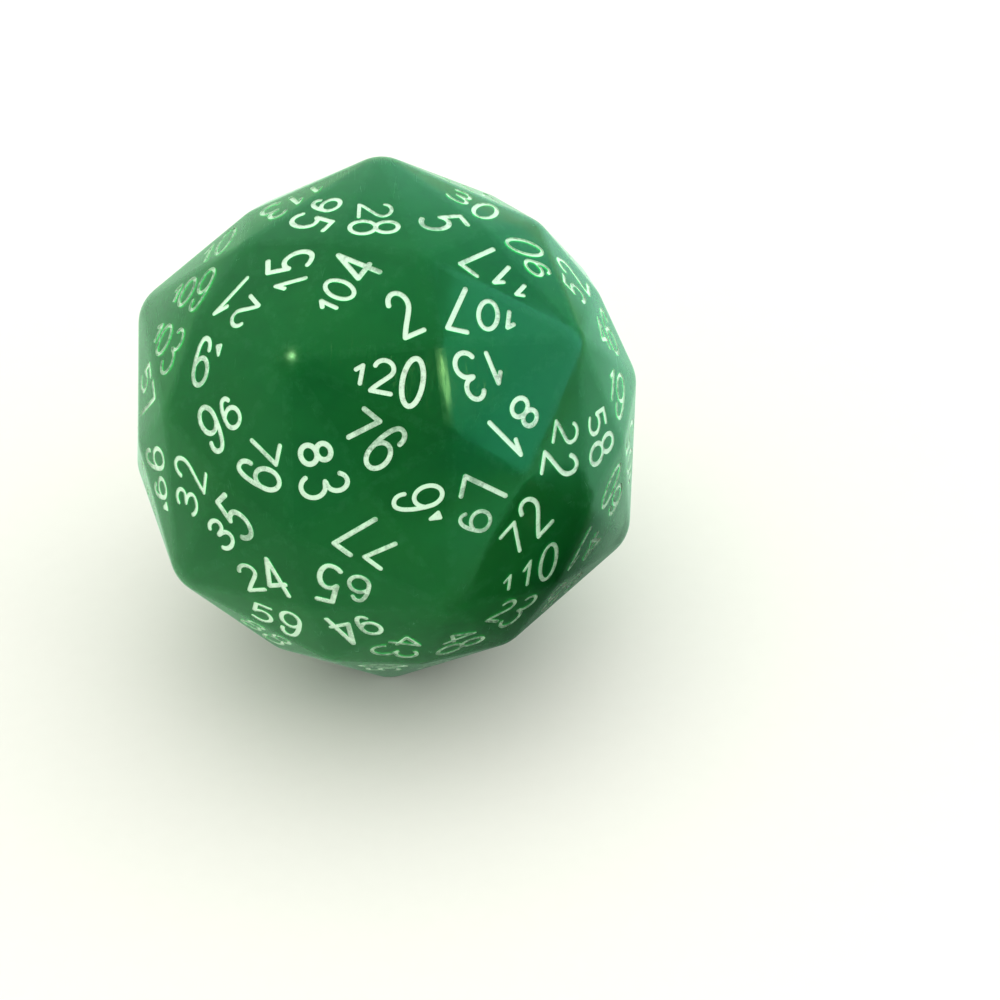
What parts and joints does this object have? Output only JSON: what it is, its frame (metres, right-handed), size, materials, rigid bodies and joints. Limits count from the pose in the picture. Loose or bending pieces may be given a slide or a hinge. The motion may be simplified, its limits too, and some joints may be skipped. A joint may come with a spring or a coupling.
{
  "type": "polyhedral die",
  "caption": "Large many-sided tabletop gaming die: rounded triangular faces, engraved painted numbers, free-standing on any flat face.",
  "frame": {"origin": "centre of the die, midway between opposite faces", "axes": "+Z out of the face that lies on top (number 28), -Z out of the face it rests on (number 93), -Y the reading direction of the top number, +X completes the right-handed frame"},
  "size_m": [0.0468, 0.0486, 0.046],
  "materials": {
    "die_resin": "gloss",
    "number_paint": "satin"
  },
  "bodies": {
    "root": {"die_body": "die_resin", "numbers_001_014_108_119": "number_paint", "numbers_002_013_107_120": "number_paint", "numbers_003_033_092_114": "number_paint", "numbers_004_031_091_116": "number_paint", "numbers_005_030_090_117": "number_paint", "numbers_006_076_077_083": "number_paint", "numbers_007_029_088_118": "number_paint", "numbers_008_039_084_111": "number_paint", "numbers_009_021_103_109": "number_paint", "numbers_010_037_082_113": "number_paint", "numbers_011_053_080_098": "number_paint", "numbers_012_018_100_112": "number_paint", "numbers_015_028_095_104": "number_paint", "numbers_016_061_063_102": "number_paint", "numbers_017_026_093_106": "number_paint", "numbers_019_058_060_105": "number_paint", "numbers_020_071_073_078": "number_paint", "numbers_022_067_072_081": "number_paint", "numbers_023_041_068_110": "number_paint", "numbers_024_059_065_094": "number_paint", "numbers_025_042_086_089": "number_paint", "numbers_027_056_062_097": "number_paint", "numbers_032_035_079_096": "number_paint", "numbers_034_057_066_085": "number_paint", "numbers_036_055_064_087": "number_paint", "numbers_038_044_045_115": "number_paint", "numbers_040_049_054_099": "number_paint", "numbers_043_048_050_101": "number_paint", "numbers_046_052_070_074": "number_paint", "numbers_047_051_069_075": "number_paint"}
  },
  "joints": []
}
